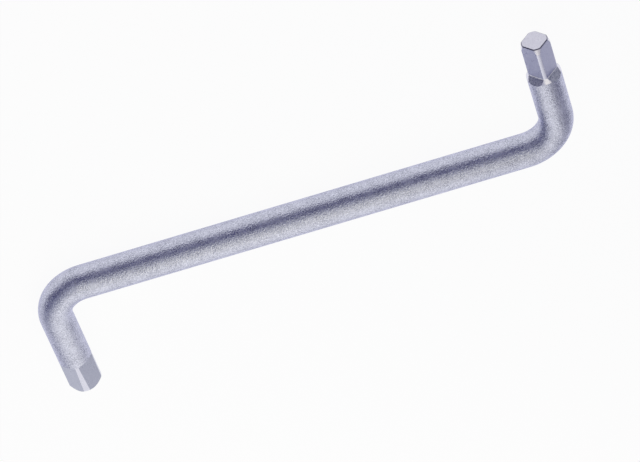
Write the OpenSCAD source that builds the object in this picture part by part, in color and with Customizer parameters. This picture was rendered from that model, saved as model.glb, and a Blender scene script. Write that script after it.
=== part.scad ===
// Double-ended drain plug wrench: one round steel bar bent twice at right angles, so that its two
// arms point opposite ways, with a square cut on the end of each arm, 8 mm and 10 mm across flats.
//
// The wrench lies flat. The handle runs along X, the 8 mm arm points along +Y, the 10 mm arm
// along -Y, and the origin is on the ground under the middle of the handle. All sizes in mm.
// The real tool is a single piece, so its sections meet face to face where one form ends and the
// next begins, and nothing moves.

/* [Round bar] */
// Diameter of the round bar
bar_d = 12; // [11.6:0.1:13.4]
// Distance between the axes of the two arms
arm_spacing = 186; // [120:1:260]
// Radius of both bends, on the bar's centre line
bend_r = 13.5; // [9:0.5:18]

/* [Arms] */
// From the handle's axis to the tip of the 8 mm square
reach_8 = 49; // [45:0.5:80]
// From the handle's axis to the tip of the 10 mm square
reach_10 = 49; // [45:0.5:80]
// Turn of both squares about their arms: at 45 a corner faces straight up
square_turn = 45; // [0:1:90]

/* [8 mm square] */
// Size across the flats
square_8 = 8; // [7.4:0.1:8.6]
// Diameter that this end is turned down to, left on the corners
neck_d = 10.1; // [9.4:0.1:10.8]
// Length of the flats and of the turned neck, from the tip
flat_len_8 = 14; // [8:0.5:17]
// Length of the cone from the neck up to the bar
neck_cone_len = 1.7; // [0.8:0.1:3]
// Slope of the ramps at the root of the flats, from the arm's axis
ramp_angle_8 = 40; // [35:1:70]
// Diameter of the end face, where the corners start to taper
tip_d_8 = 9; // [8.4:0.1:9.2]
// Length of the taper on the corners
tip_taper_8 = 2.3; // [0.5:0.1:4]

/* [10 mm square] */
// Size across the flats
square_10 = 10; // [9.4:0.1:10.6]
// Length of the flats from the tip
flat_len_10 = 14; // [8:0.5:17]
// Slope of the ramps at the root of the flats, from the arm's axis
ramp_angle_10 = 60; // [35:1:70]
// Diameter of the end face, inside the chamfer
tip_d_10 = 9; // [7:0.1:9.4]
// Length of the chamfer round the tip
tip_chamfer_10 = 1.5; // [0.5:0.1:3]

/* [Hidden] */
$fn = 96;
// Round length of bar that each square's section keeps behind its longest ramp
root_collar = 1;
// How far the milling cuts run past the solid that they cut
overcut = 1;

bar_r = bar_d / 2;
quarter_turn = 90;
half_turn = 180;

// Length along the arm that a ramp takes to climb from its flat to the bar's surface
function ramp_len(square, ramp_angle) = (bar_r - square / 2) / tan(ramp_angle);

// Length of each square's section: flats, then the longer of ramp and cone, then the collar
drive_len_8 = flat_len_8 + max(ramp_len(square_8, ramp_angle_8), neck_cone_len) + root_collar;
drive_len_10 = flat_len_10 + ramp_len(square_10, ramp_angle_10) + root_collar;

steel_satin = "#b3b5c6";
steel_machined = "#9c9cb4";

// Puts its children, drawn along +Z from the handle's axis, on the arm at the +X end
module on_arm_8()
    translate([arm_spacing / 2, 0, bar_r])
        rotate([-quarter_turn, 0, 0])
            children();

// The same for the arm at the -X end, which points the other way
module on_arm_10()
    rotate([0, 0, half_turn])
        on_arm_8()
            children();

// Quarter turn of bar from the handle's end, along +X, to the start of the arm, along +Y
module bend()
    translate([arm_spacing / 2 - bend_r, bend_r, bar_r])
        rotate([0, 0, -quarter_turn])
            rotate_extrude(angle = quarter_turn)
                translate([bend_r, 0])
                    circle(d = bar_d);

// Straight stretch of arm between its bend and its square
module arm(reach, drive_len)
    translate([0, 0, bend_r])
        cylinder(d = bar_d, h = reach - drive_len - bend_r);

// Bar end of the 8 mm square before milling: collar, cone, turned neck and tapered tip
module turned_blank_8()
    rotate_extrude()
        polygon([
            [0, reach_8 - drive_len_8],
            [bar_r, reach_8 - drive_len_8],
            [bar_r, reach_8 - flat_len_8 - neck_cone_len],
            [neck_d / 2, reach_8 - flat_len_8],
            [neck_d / 2, reach_8 - tip_taper_8],
            [tip_d_8 / 2, reach_8],
            [0, reach_8]
        ]);

// Bar end of the 10 mm square before milling: full bar with a chamfer round the tip
module turned_blank_10()
    rotate_extrude()
        polygon([
            [0, reach_10 - drive_len_10],
            [bar_r, reach_10 - drive_len_10],
            [bar_r, reach_10 - tip_chamfer_10],
            [tip_d_10 / 2, reach_10],
            [0, reach_10]
        ]);

// The four milling cuts that leave a square: each runs in along its flat and out up a ramp
module milled_flats(square, reach, flat_len, ramp_angle) {
    flat_r = square / 2;
    outer_r = bar_r + overcut;
    root = reach - flat_len;
    for (side = [0 : 3])
        rotate([0, 0, square_turn + side * quarter_turn])
            rotate([quarter_turn, 0, 0])
                linear_extrude(height = 2 * outer_r, center = true)
                    polygon([
                        [flat_r, reach + overcut],
                        [flat_r, root],
                        [outer_r, root - (outer_r - flat_r) / tan(ramp_angle)],
                        [outer_r, reach + overcut]
                    ]);
}

// Straight handle between the two bends
module handle_bar()
    color(steel_satin)
        translate([0, 0, bar_r])
            rotate([0, quarter_turn, 0])
                cylinder(d = bar_d, h = arm_spacing - 2 * bend_r, center = true);

module bend_8mm()
    color(steel_satin)
        bend();

module bend_10mm()
    color(steel_satin)
        rotate([0, 0, half_turn])
            bend();

module arm_8mm()
    color(steel_satin)
        on_arm_8()
            arm(reach_8, drive_len_8);

module arm_10mm()
    color(steel_satin)
        on_arm_10()
            arm(reach_10, drive_len_10);

// Smaller square: turned down first, so its corners are narrow and a cone leads up to the bar
module square_drive_8mm()
    color(steel_machined)
        on_arm_8()
            difference() {
                turned_blank_8();
                milled_flats(square_8, reach_8, flat_len_8, ramp_angle_8);
            }

// Larger square: milled straight into the bar, so its corners keep the bar's round
module square_drive_10mm()
    color(steel_machined)
        on_arm_10()
            difference() {
                turned_blank_10();
                milled_flats(square_10, reach_10, flat_len_10, ramp_angle_10);
            }

handle_bar();
bend_8mm();
bend_10mm();
arm_8mm();
arm_10mm();
square_drive_8mm();
square_drive_10mm();
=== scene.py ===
"""Double-ended drain plug wrench: one satin steel bar, bent twice, with a square on each end.

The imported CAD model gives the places. Every section of the bar is modelled here as a closed mesh
of its own and stands for the CAD solid of the same name. Lengths of the wrench are in
millimetres, those of the studio in metres, and angles in degrees. Meshes are made in metres, in
the frame of the CAD model.
"""

import logging
import math
from dataclasses import dataclass
from enum import Enum

import bmesh
import bpy
from mathutils import Matrix, Quaternion, Vector


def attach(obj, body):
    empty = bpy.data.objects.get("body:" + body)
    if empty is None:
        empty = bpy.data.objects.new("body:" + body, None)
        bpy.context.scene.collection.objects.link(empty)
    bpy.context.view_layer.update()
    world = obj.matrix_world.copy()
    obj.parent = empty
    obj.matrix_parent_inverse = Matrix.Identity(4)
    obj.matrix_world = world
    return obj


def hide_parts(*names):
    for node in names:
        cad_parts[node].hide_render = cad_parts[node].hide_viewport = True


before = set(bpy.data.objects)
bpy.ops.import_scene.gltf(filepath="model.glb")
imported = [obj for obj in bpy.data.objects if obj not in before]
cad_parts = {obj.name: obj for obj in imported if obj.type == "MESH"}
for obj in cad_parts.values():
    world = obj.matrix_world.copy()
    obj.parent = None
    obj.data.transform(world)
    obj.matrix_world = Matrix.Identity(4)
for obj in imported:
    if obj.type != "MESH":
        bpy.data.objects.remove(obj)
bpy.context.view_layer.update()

log = logging.getLogger("drain_plug_wrench")

# One millimetre in metres
MM = 0.001
# Radius of the rounded edges on the squares, in millimetres, and the steps across one of them
EDGE_ROUND = 0.06
EDGE_STEPS = 3
# An edge that turns by less than this many degrees stays as it is
EDGE_TURN = 9.0
# Edges this near to where a square's section starts belong to its joint, in millimetres
JOINT_BAND = 0.1
# Two points nearer than this are the same point
SAME_POINT = 0.001 * MM
# A point nearer to a plane than this lies on it
ON_PLANE = 3.0 * SAME_POINT
# Two azimuths nearer than this are the same, in degrees
SAME_AZIMUTH = 1.0
# Where the four flats of a square face, in degrees from straight up about the arm's axis
FLAT_ANGLES = (45.0, 135.0, 225.0, 315.0)
ORIGIN = Vector((0.0, 0.0, 0.0))
# Most of a slow noise's values lie in this range
CLOUD_RANGE = (0.3, 0.7)
# How far the slow clouding shifts the tone down and up
CLOUD_SHADE = (-0.12, 0.12)
# The cards are a deep blue grey, as the unlit side of the photo's studio
CARD_COLOR = (0.034, 0.032, 0.145)

# Linear red, green and blue
Color = tuple[float, float, float]
# A point and the direction that the plane faces
Plane = tuple[Vector, Vector]
# What a node reads: the output of another one, or a number
NodeValue = bpy.types.NodeSocket | float
# Vertices and edges of a mesh
MeshItems = list[bmesh.types.BMVert | bmesh.types.BMEdge]


class Slot(Enum):
    """The record's material slots."""

    SATIN = "satin_steel"
    MACHINED = "machined_steel"


class Finish(Enum):
    """Place of each finish in a piece's list of materials."""

    BLASTED = 0
    TURNED = 1
    FACED = 2
    # The two flat finishes are one milled steel in two tints: painted lighter on the 8 mm flats and
    # darker on the 10 mm flats, for how the light falls at each end
    SMALL_FLAT = 3
    LARGE_FLAT = 4
    RAMP = 5
    # The lip's finish is painted shade: a dark tint for the shadow line along the tip's edge
    LIP = 6
    CONE = 7
    # The root's finish is a painted highlight: a near-white tint for the glint where the flats meet
    # their ramps
    ROOT = 8


class ArmSide(Enum):
    """Which end of the handle an arm stands on, and how far that end is turned about Z."""

    EIGHT = 0.0
    TEN = 180.0

    def place(self) -> Matrix:
        """Returns the turn that takes the 8 mm side to this side."""
        return Matrix.Rotation(math.radians(self.value), 4, "Z")


def vector_mm(x: float, y: float, z: float) -> Vector:
    """Returns a point given in millimetres as a vector in metres."""
    return Vector((x, y, z)) * MM


def direction(azimuth: float, elevation: float) -> Vector:
    """Gives the direction in which something stands as seen from the wrench.

    Args:
        azimuth: degrees about Z, 0 towards -Y and 90 towards +X.
        elevation: degrees above the floor.

    Returns:
        A vector of length one.
    """
    turn = math.radians(azimuth)
    rise = math.radians(elevation)
    level = math.cos(rise)
    return Vector((math.sin(turn) * level, -math.cos(turn) * level, math.sin(rise)))


class NodeBoard:
    """A node tree, with short calls to add nodes and to link them."""

    def __init__(self, tree: bpy.types.NodeTree) -> None:
        """Takes the tree that nodes are added to."""
        self.tree = tree

    def add(self, kind: str, **settings: object) -> bpy.types.Node:
        """Adds a node.

        Args:
            kind: Blender's name for the kind of node.
            settings: properties of the node by name.

        Returns:
            The new node.
        """
        node = self.tree.nodes.new(kind)
        for name, value in settings.items():
            setattr(node, name, value)
        return node

    def join(self, source: bpy.types.NodeSocket, target: bpy.types.NodeSocket) -> None:
        """Links an output to an input."""
        self.tree.links.new(source, target)

    def give(self, value: NodeValue, target: bpy.types.NodeSocket) -> None:
        """Links a socket to an input, or sets the input to a number.

        Args:
            value: the socket or the number.
            target: the input.
        """
        if isinstance(value, bpy.types.NodeSocket):
            self.join(value, target)
        else:
            target.default_value = value

    def math(self, operation: str, first: NodeValue, second: NodeValue) -> bpy.types.NodeSocket:
        """Adds a Math node.

        Args:
            operation: Blender's name for the operation.
            first: a socket or a number.
            second: a socket or a number.

        Returns:
            The node's output.
        """
        node = self.add("ShaderNodeMath", operation=operation)
        for place, value in enumerate((first, second)):
            self.give(value, node.inputs[place])
        return node.outputs[0]

    def ramp(
        self, value: bpy.types.NodeSocket, low: float, high: float, to_low: float, to_high: float
    ) -> bpy.types.NodeSocket:
        """Stretches a value from one range to another, clamped at both ends.

        Args:
            value: the socket to read.
            low: start of the range that is read.
            high: end of the range that is read.
            to_low: what low becomes.
            to_high: what high becomes.

        Returns:
            The stretched value.
        """
        node = self.add("ShaderNodeMapRange", clamp=True)
        self.join(value, node.inputs["Value"])
        for name, number in (
            ("From Min", low), ("From Max", high), ("To Min", to_low), ("To Max", to_high)
        ):
            node.inputs[name].default_value = number
        return node.outputs["Result"]

    def blend(
        self, amount: bpy.types.NodeSocket, first: Color, second: Color
    ) -> bpy.types.NodeSocket:
        """Blends two colours.

        Args:
            amount: place between the two, from 0 to 1.
            first: the colour at 0.
            second: the colour at 1.

        Returns:
            The blended colour.
        """
        node = self.add("ShaderNodeMix", data_type="RGBA", clamp_factor=True)
        self.join(amount, node.inputs[0])
        node.inputs[6].default_value = (*first, 1.0)
        node.inputs[7].default_value = (*second, 1.0)
        return node.outputs[2]


@dataclass(frozen=True)
class SteelSurface:
    """Shader group for small surface relief: blasted grain, tool lines and slow clouding."""

    name: str = "steel surface"
    grain_roughness: float = 0.7
    grain_detail: float = 3.0
    pit_smoothness: float = 0.35
    pits_per_grain: float = 0.8
    specks_per_grain: float = 1.5
    # Cells for each metre along X, Y and Z, so that the lines run across the arms
    line_stretch: tuple[float, float, float] = (260.0, 5200.0, 260.0)
    slow_detail: float = 2.0
    patch_range: tuple[float, float] = (0.4, 0.6)
    patch_share: float = 0.55
    speck_share: float = 0.45
    grain_relief: float = 0.65
    pit_relief: float = 0.35

    def sockets(self, group: bpy.types.NodeTree) -> None:
        """Gives the group its inputs and outputs.

        Args:
            group: the node group.
        """
        plugs = group.interface
        plugs.new_socket("Position", in_out="INPUT", socket_type="NodeSocketVector")
        for name in ("Grain per metre", "Clouds per metre", "Line amount"):
            plugs.new_socket(name, in_out="INPUT", socket_type="NodeSocketFloat")
        for name in ("Height", "Tone", "Cloud"):
            plugs.new_socket(name, in_out="OUTPUT", socket_type="NodeSocketFloat")

    def noise(
        self, board: NodeBoard, place: bpy.types.NodeSocket, scale: NodeValue, detail: float
    ) -> bpy.types.Node:
        """Adds a noise texture.

        Args:
            board: the board to add it to.
            place: where the noise is read.
            scale: a socket or a number, in noise cells for each unit of place.
            detail: octaves of finer noise on top.

        Returns:
            The noise node.
        """
        node = board.add("ShaderNodeTexNoise", noise_dimensions="3D", normalize=True)
        node.inputs["Detail"].default_value = detail
        board.join(place, node.inputs["Vector"])
        board.give(scale, node.inputs["Scale"])
        return node

    def cells(
        self, board: NodeBoard, place: bpy.types.NodeSocket, scale: bpy.types.NodeSocket, kind: str
    ) -> bpy.types.Node:
        """Adds a Voronoi texture.

        Args:
            board: the board to add it to.
            place: where the texture is read.
            scale: cells for each metre.
            kind: Blender's name for the feature.

        Returns:
            The Voronoi node.
        """
        node = board.add("ShaderNodeTexVoronoi", feature=kind)
        board.join(place, node.inputs["Vector"])
        board.join(scale, node.inputs["Scale"])
        return node

    def tree(self) -> bpy.types.NodeTree:
        """Builds the group once, and gives the same one after that.

        Returns:
            The node group, with the outputs Height, Tone and Cloud.
        """
        made = bpy.data.node_groups.get(self.name)
        if made:
            return made
        group = bpy.data.node_groups.new(self.name, "ShaderNodeTree")
        self.sockets(group)
        board = NodeBoard(group)
        given = board.add("NodeGroupInput")
        result = board.add("NodeGroupOutput")
        position = given.outputs["Position"]
        grain_scale = given.outputs["Grain per metre"]

        grain = self.noise(board, position, grain_scale, self.grain_detail)
        grain.inputs["Roughness"].default_value = self.grain_roughness
        pit_scale = board.math("MULTIPLY", grain_scale, self.pits_per_grain)
        pits = self.cells(board, position, pit_scale, "SMOOTH_F1")
        pits.inputs["Smoothness"].default_value = self.pit_smoothness
        stretch = board.add("ShaderNodeMapping", vector_type="POINT")
        stretch.inputs["Scale"].default_value = self.line_stretch
        board.join(position, stretch.inputs["Vector"])
        lines = self.noise(board, stretch.outputs[0], 1.0, self.slow_detail)
        clouds = self.noise(board, position, given.outputs["Clouds per metre"], self.slow_detail)

        speck_scale = board.math("MULTIPLY", grain_scale, self.specks_per_grain)
        specks = self.cells(board, position, speck_scale, "F1")
        speck_tone = board.add("ShaderNodeSeparateColor")
        board.join(specks.outputs["Color"], speck_tone.inputs[0])
        patches = board.ramp(grain.outputs[0], *self.patch_range, 0.0, self.patch_share)
        tone = board.math(
            "ADD", patches, board.math("MULTIPLY", speck_tone.outputs[0], self.speck_share)
        )
        blasted = board.math(
            "ADD",
            board.math("MULTIPLY", grain.outputs[0], self.grain_relief),
            board.math("MULTIPLY", pits.outputs["Distance"], self.pit_relief),
        )
        tooled = board.math("MULTIPLY", lines.outputs[0], given.outputs["Line amount"])
        board.join(board.math("ADD", blasted, tooled), result.inputs["Height"])
        board.join(tone, result.inputs["Tone"])
        board.join(clouds.outputs[0], result.inputs["Cloud"])
        return group


@dataclass(frozen=True)
class SteelFinish:
    """A plated steel finish: tints of its grain and of its rims, range of gloss, and relief."""

    name: str
    dark_tint: Color
    light_tint: Color
    # Roughness in the smoothest and in the roughest of the slow clouds
    smooth: float
    rough: float
    grain_mm: float = 0.5
    cloud_mm: float = 2.2
    relief_mm: float = 0.01
    line_amount: float = 0.0
    rim_tint: Color = (1.0, 1.0, 1.0)

    def material(self) -> bpy.types.Material:
        """Builds the material once, and gives the same one after that.

        Returns:
            The finish as a node material.
        """
        made = bpy.data.materials.get(self.name)
        if made:
            return made
        material = bpy.data.materials.new(self.name)
        material.use_nodes = True
        material.node_tree.nodes.clear()
        board = NodeBoard(material.node_tree)
        output = board.add("ShaderNodeOutputMaterial")
        steel = board.add("ShaderNodeBsdfPrincipled")
        steel.inputs["Metallic"].default_value = 1.0
        steel.inputs["Specular Tint"].default_value = (*self.rim_tint, 1.0)
        board.join(steel.outputs[0], output.inputs["Surface"])

        place = board.add("ShaderNodeTexCoord")
        surface = board.add("ShaderNodeGroup", node_tree=SteelSurface().tree())
        board.join(place.outputs["Object"], surface.inputs["Position"])
        surface.inputs["Grain per metre"].default_value = 1.0 / (self.grain_mm * MM)
        surface.inputs["Clouds per metre"].default_value = 1.0 / (self.cloud_mm * MM)
        surface.inputs["Line amount"].default_value = self.line_amount

        cloud = board.ramp(surface.outputs["Cloud"], *CLOUD_RANGE, *CLOUD_SHADE)
        shade = board.math("ADD", surface.outputs["Tone"], cloud)
        board.join(board.blend(shade, self.dark_tint, self.light_tint), steel.inputs["Base Color"])
        gloss = board.ramp(surface.outputs["Cloud"], *CLOUD_RANGE, self.smooth, self.rough)
        board.join(gloss, steel.inputs["Roughness"])

        relief = board.add("ShaderNodeBump")
        relief.inputs["Distance"].default_value = self.relief_mm * MM
        board.join(surface.outputs["Height"], relief.inputs["Height"])
        board.join(relief.outputs["Normal"], steel.inputs["Normal"])
        return material


FINISHES: dict[Finish, SteelFinish] = {
    Finish.BLASTED: SteelFinish(
        name="blasted satin steel",
        dark_tint=(0.355, 0.365, 0.455),
        light_tint=(0.755, 0.77, 0.905),
        smooth=0.24,
        rough=0.30,
        grain_mm=0.45,
        cloud_mm=3.5,
        relief_mm=0.20,
        rim_tint=(0.82, 0.82, 0.96),
    ),
    Finish.TURNED: SteelFinish(
        name="turned bright steel",
        dark_tint=(0.585, 0.59, 0.705),
        light_tint=(0.69, 0.695, 0.81),
        smooth=0.22,
        rough=0.28,
        relief_mm=0.008,
        line_amount=0.8,
    ),
    Finish.FACED: SteelFinish(
        name="faced bright steel",
        dark_tint=(0.575, 0.57, 0.67),
        light_tint=(0.68, 0.675, 0.77),
        smooth=0.27,
        rough=0.32,
        grain_mm=0.4,
    ),
    # The 8 mm flats are painted lighter than the 10 mm flats: the same milled steel as lit and
    # shaded copies, for how the light falls at each end
    Finish.SMALL_FLAT: SteelFinish(
        name="milled steel of the 8 mm flats",
        dark_tint=(0.57, 0.58, 0.735),
        light_tint=(0.66, 0.67, 0.83),
        smooth=0.27,
        rough=0.33,
        line_amount=0.6,
    ),
    # The 10 mm flats are painted darker: painted shade for how the light falls at that end
    Finish.LARGE_FLAT: SteelFinish(
        name="milled steel of the 10 mm flats",
        dark_tint=(0.475, 0.49, 0.60),
        light_tint=(0.555, 0.575, 0.69),
        smooth=0.27,
        rough=0.33,
        line_amount=0.6,
    ),
    Finish.RAMP: SteelFinish(
        name="cutter marked steel of the ramps",
        dark_tint=(0.35, 0.37, 0.45),
        light_tint=(0.74, 0.75, 0.82),
        smooth=0.34,
        rough=0.41,
        grain_mm=0.55,
        cloud_mm=1.6,
        relief_mm=0.10,
    ),
    # The lip is painted dark, as painted shade for the shadow line along the tip's edge
    Finish.LIP: SteelFinish(
        name="painted shade on the tip's lip",
        dark_tint=(0.14, 0.14, 0.19),
        light_tint=(0.22, 0.22, 0.29),
        smooth=0.30,
        rough=0.38,
        grain_mm=0.4,
    ),
    Finish.CONE: SteelFinish(
        name="bright steel of the cones and chamfers",
        dark_tint=(0.665, 0.657, 0.765),
        light_tint=(0.777, 0.772, 0.89),
        smooth=0.24,
        rough=0.30,
        relief_mm=0.02,
        line_amount=0.4,
    ),
    # The root's blend is painted near white, as a painted highlight for the glint at the foot of the
    # flats
    Finish.ROOT: SteelFinish(
        name="painted highlight at the root of the flats",
        dark_tint=(0.93, 0.93, 0.97),
        light_tint=(0.99, 0.99, 1.0),
        smooth=0.75,
        rough=0.85,
    ),
}


def make_piece(name: str, bm: bmesh.types.BMesh, soft_edges: bool) -> bpy.types.Object:
    """Closes the making of a mesh: merges, turns the faces outwards and dresses it.

    Args:
        name: name of the CAD node that the piece stands for.
        bm: the finished shape, in place. It is freed.
        soft_edges: whether the edges that carry a bevel weight are rounded.

    Returns:
        The piece, riding on the wrench's body.
    """
    bmesh.ops.remove_doubles(bm, verts=bm.verts, dist=SAME_POINT)
    bmesh.ops.recalc_face_normals(bm, faces=bm.faces)
    open_edges = sum(1 for edge in bm.edges if len(edge.link_faces) != 2)
    mesh = bpy.data.meshes.new(name + "_steel")
    bm.to_mesh(mesh)
    bm.free()
    for finish in Finish:
        mesh.materials.append(FINISHES[finish].material())
    piece = bpy.data.objects.new(name + "_steel", mesh)
    bpy.context.scene.collection.objects.link(piece)
    if soft_edges:
        bevel = piece.modifiers.new("soft edges", "BEVEL")
        bevel.limit_method = "WEIGHT"
        bevel.width = EDGE_ROUND * MM
        bevel.segments = EDGE_STEPS
        bevel.harden_normals = True
    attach(piece, "root")
    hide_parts(name)
    log.info("%s: %d faces, %d open edges", piece.name, len(mesh.polygons), open_edges)
    return piece


@dataclass
class BentBar:
    """The round bar: the straight handle, its two quarter bends and the two arms."""

    radius: float = 6.0
    arm_spacing: float = 186.0
    bend_radius: float = 13.5
    points_round: int = 96
    bend_steps: int = 72
    handle_steps: int = 48
    arm_steps: int = 8

    def stretch(
        self,
        node: str,
        side: ArmSide,
        start: Vector,
        facing: Matrix,
        steps: int,
        step: Vector = ORIGIN,
        centre: Vector = ORIGIN,
        turn: float = 0.0,
    ) -> bpy.types.Object:
        """Sweeps the bar's round section along a line or an arc and closes both ends.

        Args:
            node: the CAD node that the stretch stands for.
            side: the end of the handle that it is on.
            start: middle of its first section.
            facing: turns the section, drawn flat about Z, to face along the bar.
            steps: number of steps of the sweep.
            step: how far each step moves on.
            centre: centre of the arc.
            turn: angle of the arc about Z, in degrees.

        Returns:
            The finished piece.
        """
        bm = bmesh.new()
        bmesh.ops.create_circle(
            bm,
            cap_ends=True,
            segments=self.points_round,
            radius=self.radius * MM,
            matrix=Matrix.Translation(start) @ facing,
        )
        bmesh.ops.spin(
            bm,
            geom=[*bm.verts, *bm.edges, *bm.faces],
            cent=centre,
            axis=(0.0, 0.0, 1.0),
            dvec=step,
            angle=math.radians(turn),
            steps=steps,
        )
        for face in bm.faces:
            face.smooth = len(face.verts) == 4
        for edge in bm.edges:
            edge.smooth = all(face.smooth for face in edge.link_faces)
        bmesh.ops.transform(bm, matrix=side.place(), verts=bm.verts)
        return make_piece(node, bm, soft_edges=False)

    def handle(self) -> bpy.types.Object:
        """Builds the straight handle between the bends.

        Returns:
            The finished piece.
        """
        half = self.arm_spacing / 2.0 - self.bend_radius
        return self.stretch(
            "handle_bar",
            ArmSide.EIGHT,
            start=vector_mm(-half, 0.0, self.radius),
            facing=Matrix.Rotation(math.pi / 2.0, 4, "Y"),
            steps=self.handle_steps,
            step=vector_mm(2.0 * half / self.handle_steps, 0.0, 0.0),
        )

    def bend(self, side: ArmSide, node: str) -> bpy.types.Object:
        """Builds one quarter bend.

        Args:
            side: the end of the handle that it is on.
            node: the CAD node that it stands for.

        Returns:
            The finished piece.
        """
        start_x = self.arm_spacing / 2.0 - self.bend_radius
        return self.stretch(
            node,
            side,
            start=vector_mm(start_x, 0.0, self.radius),
            facing=Matrix.Rotation(math.pi / 2.0, 4, "Y"),
            steps=self.bend_steps,
            centre=vector_mm(start_x, self.bend_radius, self.radius),
            turn=90.0,
        )

    def arm(self, side: ArmSide, node: str, end: float) -> bpy.types.Object:
        """Builds the straight stretch of an arm between its bend and its square.

        Args:
            side: the end of the handle that it is on.
            node: the CAD node that it stands for.
            end: distance from the handle's axis to where the square's section starts.

        Returns:
            The finished piece.
        """
        return self.stretch(
            node,
            side,
            start=vector_mm(self.arm_spacing / 2.0, self.bend_radius, self.radius),
            facing=Matrix.Rotation(math.pi / 2.0, 4, "X"),
            steps=self.arm_steps,
            step=vector_mm(0.0, (end - self.bend_radius) / self.arm_steps, 0.0),
        )


@dataclass
class SquareEnd:
    """A male square milled on the end of an arm, with the sizes that both squares share."""

    side: ArmSide
    node: str
    across_flats: float
    corner_radius: float
    ramp_angle: float
    # Where each finish of the round surface ends, by distance from the handle's axis
    turned_to: tuple[tuple[float, Finish], ...]
    # Outline of the round blank: radius, then distance from the handle's axis
    profile: tuple[tuple[float, float], ...]
    tip: float = 49.0
    flat_length: float = 14.0
    axis_x: float = 93.0
    axis_z: float = 6.0
    strip_steps: int = 6
    flat_steps: int = 26
    lip: float = 0.0
    flat_lean: float = 0.0
    root_blend: float = 0.15
    flats: Finish = Finish.LARGE_FLAT

    @property
    def root(self) -> float:
        """Distance from the handle's axis to the root of the flats."""
        return self.tip - self.flat_length

    @property
    def root_loss(self) -> float:
        """Share by which the flats stand nearer to the arm's axis at their root than at the tip."""
        return self.flat_length * math.tan(math.radians(self.flat_lean)) / (self.across_flats / 2.0)

    @property
    def start(self) -> float:
        """Distance from the handle's axis to where this section of the bar starts."""
        return self.profile[0][1]

    @property
    def half_strip(self) -> float:
        """Half the angle that a corner strip spans about the arm's axis, in degrees."""
        return 45.0 - math.degrees(math.acos(self.across_flats / 2.0 / self.corner_radius))

    def outward(self, angle: float) -> Vector:
        """Returns the direction out from the arm's axis, by degrees from straight up."""
        turn = math.radians(angle)
        return Vector((math.sin(turn), 0.0, math.cos(turn)))

    def on_axis(self, along: float) -> Vector:
        """Returns a point on the arm's axis, by its distance from the handle's axis."""
        return vector_mm(self.axis_x, along, self.axis_z)

    def blank(self) -> bmesh.types.BMesh:
        """Turns the round blank of the end, without its end faces.

        Its facets are laid out so that the corner strips and the flats each take a whole
        number of them.

        Returns:
            The open shell as a new mesh.
        """
        bm = bmesh.new()
        out = self.outward(-self.half_strip)
        corners = [
            bm.verts.new(self.on_axis(along) + out * (reach * MM)) for reach, along in self.profile
        ]
        line: MeshItems = [*corners, *(bm.edges.new(pair) for pair in zip(corners, corners[1:]))]
        strip = math.radians(2.0 * self.half_strip)
        sweeps = ((strip, self.strip_steps), (math.pi / 2.0 - strip, self.flat_steps))
        for angle, steps in sweeps * len(FLAT_ANGLES):
            line = bmesh.ops.spin(
                bm,
                geom=line,
                cent=self.on_axis(0.0),
                axis=(0.0, 1.0, 0.0),
                angle=angle,
                steps=steps,
            )["geom_last"]
        bmesh.ops.remove_doubles(bm, verts=bm.verts, dist=SAME_POINT)
        return bm

    def cut(
        self, bm: bmesh.types.BMesh, point: Vector, facing: Vector, keep_outer: bool = False
    ) -> None:
        """Cuts a mesh along a plane and drops one side of it.

        Args:
            bm: the mesh to cut.
            point: a point on the plane.
            facing: which way the plane faces.
            keep_outer: keeps the side that the plane faces, in place of the other one.
        """
        bmesh.ops.bisect_plane(
            bm,
            geom=[*bm.verts, *bm.edges, *bm.faces],
            dist=SAME_POINT,
            plane_co=point,
            plane_no=facing,
            clear_outer=not keep_outer,
            clear_inner=keep_outer,
        )

    def on_plane(self, items: MeshItems, point: Vector, facing: Vector) -> MeshItems:
        """Picks the vertices or edges that lie on a plane.

        Args:
            items: vertices or edges.
            point: a point on the plane.
            facing: which way the plane faces.

        Returns:
            Those that lie on it.
        """
        picked = []
        for item in items:
            corners = [item] if isinstance(item, bmesh.types.BMVert) else item.verts
            if all(abs((corner.co - point).dot(facing)) < ON_PLANE for corner in corners):
                picked.append(item)
        return picked

    def open_rim(self, bm: bmesh.types.BMesh, point: Vector, facing: Vector) -> MeshItems:
        """Picks the open edges of a mesh that lie on a plane.

        Args:
            bm: the mesh.
            point: a point on the plane.
            facing: which way the plane faces.

        Returns:
            The edges with a face on one side only.
        """
        open_edges = [edge for edge in bm.edges if edge.is_boundary]
        return self.on_plane(open_edges, point, facing)

    def join(self, parts: tuple[bmesh.types.BMesh, ...]) -> bmesh.types.BMesh:
        """Puts meshes together into one and merges the points where they meet.

        Args:
            parts: the meshes, which are freed.

        Returns:
            The joined mesh.
        """
        bm = bmesh.new()
        for part in parts:
            carrier = bpy.data.meshes.new("carrier")
            part.to_mesh(carrier)
            part.free()
            bm.from_mesh(carrier)
            bpy.data.meshes.remove(carrier)
        bmesh.ops.remove_doubles(bm, verts=bm.verts, dist=SAME_POINT)
        return bm

    def close(self, bm: bmesh.types.BMesh, edges: MeshItems, finish: Finish) -> None:
        """Fills a closed ring of edges with one flat face.

        Args:
            bm: the mesh that holds the edges.
            edges: the ring.
            finish: finish of the new face.

        Raises:
            ValueError: if the edges don't make one ring.
        """
        faces = bmesh.ops.contextual_create(bm, geom=edges)["faces"]
        if len(faces) != 1:
            raise ValueError(f"{self.node}: a ring of {len(edges)} edges doesn't close")
        faces[0].material_index = finish.value
        faces[0].smooth = False

    def turned_finish(self, along: float) -> Finish:
        """Gives the finish of the round surface between the flats.

        Args:
            along: distance from the handle's axis.

        Returns:
            The finish there.
        """
        for end, finish in self.turned_to:
            if along < end:
                return finish
        # Past the last band lies the tip's lip, which takes the painted shade
        return Finish.LIP

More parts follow.
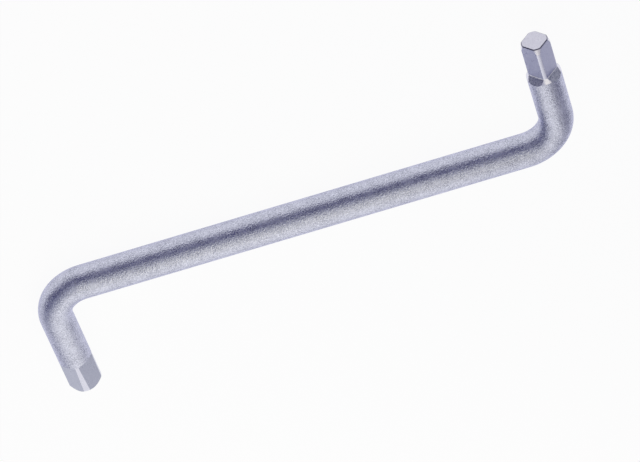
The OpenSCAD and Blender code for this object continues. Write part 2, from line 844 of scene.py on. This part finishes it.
    def cuts(self, angle: float) -> tuple[Plane, Plane, Plane, Plane]:
        """Gives the planes of one flat.

        Args:
            angle: where the flat faces, in degrees from straight up.

        Returns:
            The planes of the flat, of the blend at its root, of its ramp and of its lip.
        """
        along = Vector((0.0, 1.0, 0.0))
        rise = math.radians(self.ramp_angle)
        lean = math.radians(self.flat_lean)
        out = self.outward(angle)
        reach = out * (self.across_flats / 2.0 * MM)
        tip = self.on_axis(self.tip) + reach
        foot = self.on_axis(self.root) + reach * (1.0 - self.root_loss)
        flat_facing = out * math.cos(lean) - along * math.sin(lean)
        ramp_facing = out * math.cos(rise) + along * math.sin(rise)
        up_flat = along * math.cos(lean) + out * math.sin(lean)
        blend_rim = foot + up_flat * (self.root_blend * MM)
        return (
            (tip, flat_facing),
            (blend_rim, (flat_facing + ramp_facing).normalized()),
            (foot, ramp_facing),
            (tip - along * (self.lip * MM), (out + along).normalized()),
        )

    def mill(self) -> bmesh.types.BMesh:
        """Mills the four flats and their ramps into the blank and closes the solid.

        Returns:
            The closed solid as a new mesh.
        """
        along = Vector((0.0, 1.0, 0.0))
        tip = self.on_axis(self.tip)
        flat_share = math.cos(math.radians(self.flat_lean))
        ramp_share = math.cos(math.radians(self.ramp_angle))
        blend_end = self.on_axis(self.root + self.root_blend * flat_share)
        blend_start = self.on_axis(self.root - self.root_blend * ramp_share)
        tip_part = self.blank()
        blend_part = tip_part.copy()
        root_part = tip_part.copy()
        self.cut(tip_part, blend_end, along, keep_outer=True)
        self.cut(blend_part, blend_end, along)
        self.cut(blend_part, blend_start, along, keep_outer=True)
        self.cut(root_part, blend_start, along)
        planes = [self.cuts(angle) for angle in FLAT_ANGLES]
        for flat, blend, ramp, lip in planes:
            self.cut(tip_part, *flat)
            self.cut(blend_part, *blend)
            self.cut(root_part, *ramp)
            if self.lip:
                self.cut(tip_part, *lip)

        bm = self.join((tip_part, blend_part, root_part))
        for face in bm.faces:
            face.smooth = True
            face.material_index = self.turned_finish(face.calc_center_median().y / MM).value
        # A new edge has a face on one side once the first ring is closed, so it is open for the next
        for flat, blend, ramp, lip in planes:
            on_ramp = self.on_plane(list(bm.verts), *ramp)
            on_flat = self.on_plane(list(bm.verts), *flat)
            ramp_edge = bm.edges.new(self.on_plane(on_ramp, blend_start, along))
            flat_edge = bm.edges.new(self.on_plane(on_flat, blend_end, along))
            self.close(bm, [*self.open_rim(bm, *ramp), ramp_edge], Finish.RAMP)
            # The blend at the root takes the painted highlight
            self.close(bm, [*self.open_rim(bm, *blend), flat_edge], Finish.ROOT)
            if self.lip:
                # The lip's facet takes the painted shade of the tip's edge
                on_lip = self.on_plane(list(bm.verts), *lip)
                lip_edge = bm.edges.new(self.on_plane(on_lip, *flat))
                tip_edge = bm.edges.new(self.on_plane(on_lip, tip, along))
                self.close(bm, [*self.open_rim(bm, *lip), lip_edge, tip_edge], Finish.LIP)
            self.close(bm, self.open_rim(bm, *flat), self.flats)
        self.close(bm, self.open_rim(bm, tip, along), Finish.FACED)
        self.close(bm, self.open_rim(bm, self.on_axis(self.start), along), Finish.BLASTED)
        return bm

    def weigh_edges(self, bm: bmesh.types.BMesh) -> None:
        """Marks the sharp edges to be rounded, but not the joint with the arm.

        Args:
            bm: the closed solid.
        """
        weight = bm.edges.layers.float.new("bevel_weight_edge")
        joint = (self.start + JOINT_BAND) * MM
        for edge in bm.edges:
            if max(corner.co.y for corner in edge.verts) < joint:
                edge.smooth = False
            elif edge.calc_face_angle(0.0) > math.radians(EDGE_TURN):
                edge[weight] = 1.0

    def build(self) -> bpy.types.Object:
        """Builds the end of the arm.

        Returns:
            The finished piece.
        """
        bm = self.mill()
        bmesh.ops.recalc_face_normals(bm, faces=bm.faces)
        self.weigh_edges(bm)
        bmesh.ops.transform(bm, matrix=self.side.place(), verts=bm.verts)
        return make_piece(self.node, bm, soft_edges=True)


@dataclass
class EightMillimetreSquare(SquareEnd):
    """The smaller square: turned down to a neck first, with a cone behind and a tapered tip."""

    side: ArmSide = ArmSide.EIGHT
    node: str = "square_drive_8mm"
    across_flats: float = 8.0
    corner_radius: float = 5.05
    ramp_angle: float = 40.0
    turned_to: tuple[tuple[float, Finish], ...] = (
        (33.3, Finish.BLASTED), (35.0, Finish.CONE), (46.7, Finish.TURNED), (48.7, Finish.CONE)
    )
    lip: float = 0.3
    flats: Finish = Finish.SMALL_FLAT
    profile: tuple[tuple[float, float], ...] = (
        (6.0, 31.6165), (6.0, 33.3), (5.05, 35.0), (5.05, 46.7), (4.57, 48.7), (4.27, 49.0)
    )


@dataclass
class TenMillimetreSquare(SquareEnd):
    """The larger square: milled straight into the full bar, with a chamfered tip."""

    side: ArmSide = ArmSide.TEN
    node: str = "square_drive_10mm"
    across_flats: float = 10.0
    corner_radius: float = 6.0
    ramp_angle: float = 60.0
    turned_to: tuple[tuple[float, Finish], ...] = (
        (35.0, Finish.BLASTED), (47.5, Finish.TURNED), (49.0, Finish.CONE)
    )
    flat_lean: float = 1.4
    profile: tuple[tuple[float, float], ...] = ((6.0, 33.4226), (6.0, 47.5), (4.5, 49.0))


@dataclass(frozen=True)
class Softbox:
    """A flat soft lamp that faces the wrench."""

    name: str
    azimuth: float
    elevation: float
    distance: float
    width: float
    height: float
    brightness: float
    color: Color

    def build(self) -> bpy.types.Object:
        """Hangs the lamp.

        Returns:
            The lamp's object.
        """
        lamp = bpy.data.lights.new(self.name, "AREA")
        lamp.shape = "RECTANGLE"
        lamp.size = self.width
        lamp.size_y = self.height
        # An area lamp of brightness 1 takes pi watts for each square metre
        lamp.energy = math.pi * self.width * self.height * self.brightness
        lamp.color = self.color
        holder = bpy.data.objects.new(self.name, lamp)
        way = direction(self.azimuth, self.elevation)
        holder.location = way * self.distance
        holder.rotation_mode = "QUATERNION"
        holder.rotation_quaternion = way.to_track_quat("Z", "Y")
        holder.visible_camera = False
        bpy.context.scene.collection.objects.link(holder)
        return holder


@dataclass(frozen=True)
class DarkCard:
    """A curved dark card that the steel mirrors, as the unlit side of the studio."""

    name: str
    azimuth_from: float
    azimuth_to: float
    elevation_from: float
    elevation_to: float
    # Width of the border over which the card fades out, in degrees
    soft: float
    radius: float
    color: Color
    # How solid the card is inside that border, from 0 to 1
    depth: float = 1.0
    steps: int = 48

    def material(self) -> bpy.types.Material:
        """Builds the card's material, which fades out towards its border.

        Returns:
            The material.
        """
        material = bpy.data.materials.new(self.name)
        material.use_nodes = True
        material.node_tree.nodes.clear()
        board = NodeBoard(material.node_tree)
        output = board.add("ShaderNodeOutputMaterial")
        cover = board.add("ShaderNodeAttribute", attribute_name="cover")
        clear = board.add("ShaderNodeBsdfTransparent")
        dark = board.add("ShaderNodeEmission")
        dark.inputs["Color"].default_value = (*self.color, 1.0)
        mix = board.add("ShaderNodeMixShader")
        board.join(cover.outputs["Fac"], mix.inputs[0])
        board.join(clear.outputs[0], mix.inputs[1])
        board.join(dark.outputs[0], mix.inputs[2])
        board.join(mix.outputs[0], output.inputs["Surface"])
        return material

    def fade(self, value: float, low: float, high: float) -> float:
        """Gives how solid the card is at an angle.

        Args:
            value: the angle, in degrees.
            low: angle of the one border.
            high: angle of the other border.

        Returns:
            0 on a border and 1 well inside.
        """
        inside = min(value - low, high - value) / self.soft
        inside = max(0.0, min(1.0, inside))
        return inside * inside * (3.0 - 2.0 * inside)

    def build(self) -> bpy.types.Object:
        """Builds the card by spinning an upright arc about Z.

        Returns:
            The card's object.
        """
        bm = bmesh.new()
        cover = bm.verts.layers.float.new("cover")
        span = self.elevation_to - self.elevation_from
        arc = [
            bm.verts.new(
                direction(self.azimuth_from, self.elevation_from + span * step / self.steps)
                * self.radius
            )
            for step in range(self.steps + 1)
        ]
        line: MeshItems = [*arc, *(bm.edges.new(pair) for pair in zip(arc, arc[1:]))]
        bmesh.ops.spin(
            bm,
            geom=line,
            cent=(0.0, 0.0, 0.0),
            axis=(0.0, 0.0, 1.0),
            angle=math.radians(self.azimuth_to - self.azimuth_from),
            steps=self.steps,
        )
        for corner in bm.verts:
            # The card's first azimuth may be above 180, where atan2 has gone round to below zero
            azimuth = math.degrees(math.atan2(corner.co.x, -corner.co.y))
            while azimuth < self.azimuth_from - SAME_AZIMUTH:
                azimuth += 360.0
            elevation = math.degrees(math.asin(corner.co.z / self.radius))
            corner[cover] = (
                self.depth
                * self.fade(azimuth, self.azimuth_from, self.azimuth_to)
                * self.fade(elevation, self.elevation_from, self.elevation_to)
            )
        mesh = bpy.data.meshes.new(self.name)
        bm.to_mesh(mesh)
        bm.free()
        mesh.materials.append(self.material())
        card = bpy.data.objects.new(self.name, mesh)
        card.visible_camera = False
        bpy.context.scene.collection.objects.link(card)
        return card


@dataclass
class Studio:
    """White floor, soft lamps, dark cards, a pale room and the camera."""

    floor_radius: float = 6.0
    floor_points: int = 96
    floor_inset: float = 3.0
    floor_color: Color = (0.95, 0.95, 0.95)
    floor_roughness: float = 0.9
    floor_gloss: float = 0.1
    floor_shine: float = 0.94
    room_color: Color = (0.479, 0.488, 0.547)
    camera_azimuth: float = 174.6927
    camera_elevation: float = 43.8766
    camera_roll: float = 167.1726
    # The camera's place comes from the same fit as the wrench, and is in millimetres as well
    camera_distance: float = 1283.023
    camera_aim: tuple[float, float, float] = (3.733, -9.366, 6.0)
    lens: float = 208.9144
    sensor_width: float = 36.0
    # Nearest and furthest that the camera sees, in metres
    camera_range: tuple[float, float] = (0.05, 50.0)
    lamps: tuple[Softbox, ...] = (
        Softbox(
            name="overhead softbox",
            azimuth=86.0,
            elevation=80.0,
            distance=1.7,
            width=1.5,
            height=1.11,
            brightness=0.83,
            color=(1.0, 0.955, 0.675),
        ),
        Softbox(
            name="front softbox",
            azimuth=2.0,
            elevation=39.0,
            distance=0.5,
            width=1.15,
            height=0.61,
            brightness=0.60,
            color=(1.0, 0.975, 0.81),
        ),
    )
    cards: tuple[DarkCard, ...] = (
        DarkCard(
            name="card behind the camera",
            azimuth_from=99.0,
            azimuth_to=302.0,
            elevation_from=-42.0,
            elevation_to=58.0,
            soft=41.0,
            radius=1.9,
            color=CARD_COLOR,
        ),
        DarkCard(
            name="card beside the 8 mm arm",
            azimuth_from=17.0,
            azimuth_to=123.0,
            elevation_from=-22.0,
            elevation_to=85.0,
            soft=28.0,
            radius=0.331,
            color=CARD_COLOR,
            depth=0.63,
        ),
        DarkCard(
            name="card beside the 10 mm arm",
            azimuth_from=248.0,
            azimuth_to=321.0,
            elevation_from=-22.0,
            elevation_to=50.0,
            soft=18.0,
            radius=0.331,
            color=(0.034, 0.040, 0.19),
            depth=0.28,
        ),
    )

    def floor(self) -> bpy.types.Object:
        """Lays the floor: matt white paper, with a white glow of its own for the camera and gloss.

        Returns:
            The floor's object.
        """
        bm = bmesh.new()
        bmesh.ops.create_circle(
            bm, cap_ends=True, segments=self.floor_points, radius=self.floor_radius
        )
        bmesh.ops.inset_region(bm, faces=bm.faces, thickness=self.floor_inset)
        mesh = bpy.data.meshes.new("floor")
        bm.to_mesh(mesh)
        bm.free()
        material = bpy.data.materials.new("white floor")
        material.use_nodes = True
        material.node_tree.nodes.clear()
        board = NodeBoard(material.node_tree)
        output = board.add("ShaderNodeOutputMaterial")
        paper = board.add("ShaderNodeBsdfPrincipled")
        paper.inputs["Base Color"].default_value = (*self.floor_color, 1.0)
        paper.inputs["Roughness"].default_value = self.floor_roughness
        paper.inputs["Specular IOR Level"].default_value = self.floor_gloss
        white = board.add("ShaderNodeEmission")
        path = board.add("ShaderNodeLightPath")
        seen = board.math(
            "MAXIMUM",
            path.outputs["Is Camera Ray"],
            board.math(
                "MAXIMUM", path.outputs["Is Glossy Ray"], path.outputs["Is Transmission Ray"]
            ),
        )
        mix = board.add("ShaderNodeMixShader")
        board.join(board.math("MULTIPLY", seen, self.floor_shine), mix.inputs[0])
        board.join(paper.outputs[0], mix.inputs[1])
        board.join(white.outputs[0], mix.inputs[2])
        board.join(mix.outputs[0], output.inputs["Surface"])
        mesh.materials.append(material)
        floor = bpy.data.objects.new("floor", mesh)
        bpy.context.scene.collection.objects.link(floor)
        return floor

    def room(self) -> None:
        """Gives the world one plain pale tone."""
        world = bpy.data.worlds.new("pale room")
        world.use_nodes = True
        world.node_tree.nodes.clear()
        board = NodeBoard(world.node_tree)
        output = board.add("ShaderNodeOutputWorld")
        tone = board.add("ShaderNodeBackground")
        tone.inputs["Color"].default_value = (*self.room_color, 1.0)
        board.join(tone.outputs[0], output.inputs["Surface"])
        bpy.context.scene.world = world

    def camera(self) -> bpy.types.Object:
        """Sets up the camera at the photo's angle, rolled so that its top is the photo's top.

        Returns:
            The camera's object.
        """
        data = bpy.data.cameras.new("camera")
        data.sensor_width = self.sensor_width
        data.lens = self.lens
        data.clip_start, data.clip_end = self.camera_range
        camera = bpy.data.objects.new("camera", data)
        back = direction(self.camera_azimuth, self.camera_elevation)
        camera.location = vector_mm(*self.camera_aim) + back * (self.camera_distance * MM)
        camera.rotation_mode = "QUATERNION"
        roll = Quaternion(back, math.radians(self.camera_roll))
        camera.rotation_quaternion = roll @ (-back).to_track_quat("-Z", "Y")
        bpy.context.scene.collection.objects.link(camera)
        bpy.context.scene.camera = camera
        return camera

    def build(self) -> None:
        """Sets up the floor, the room, the lamps, the cards and the camera."""
        self.floor()
        self.room()
        for item in (*self.lamps, *self.cards):
            item.build()
        self.camera()
        bpy.context.scene.view_settings.view_transform = "Standard"


def main() -> None:
    """Builds the wrench section by section, then the studio round it."""
    logging.basicConfig(level=logging.INFO, format="%(message)s")
    bar = BentBar()
    small_square = EightMillimetreSquare()
    large_square = TenMillimetreSquare()
    pieces = [
        bar.handle(),
        bar.bend(ArmSide.EIGHT, "bend_8mm"),
        bar.bend(ArmSide.TEN, "bend_10mm"),
        bar.arm(ArmSide.EIGHT, "arm_8mm", small_square.start),
        bar.arm(ArmSide.TEN, "arm_10mm", large_square.start),
        small_square.build(),
        large_square.build(),
    ]
    log.info("%d pieces built", len(pieces))
    Studio().build()


if __name__ == "__main__":
    main()
